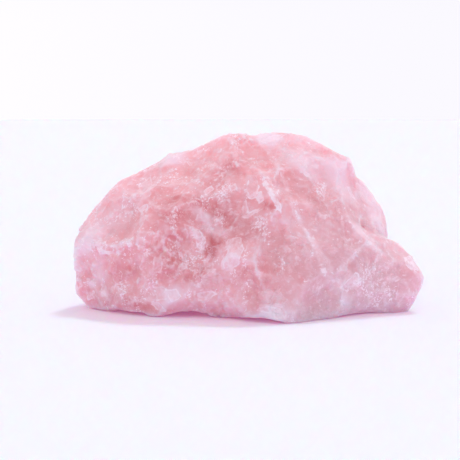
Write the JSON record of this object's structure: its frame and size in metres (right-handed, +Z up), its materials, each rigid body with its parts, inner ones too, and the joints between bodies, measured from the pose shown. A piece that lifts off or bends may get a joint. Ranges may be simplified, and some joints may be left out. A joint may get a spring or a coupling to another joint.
{
  "type": "rose quartz chunk",
  "caption": "Rough broken lump of rose quartz, milky pink and faceted by flake scars, that lies on its levelled underside as a display stone.",
  "frame": {"origin": "on the surface that the lump rests on, under the middle of its bounding box", "axes": "+X along the lump's length, towards its low end; +Z up; +Y away from its best side"},
  "size_m": [0.1014, 0.055, 0.051],
  "materials": {
    "rose_quartz": "rough broken, waxy to vitreous, milky and translucent"
  },
  "bodies": {
    "root": {"rose_quartz_chunk": "rose_quartz"}
  },
  "joints": []
}
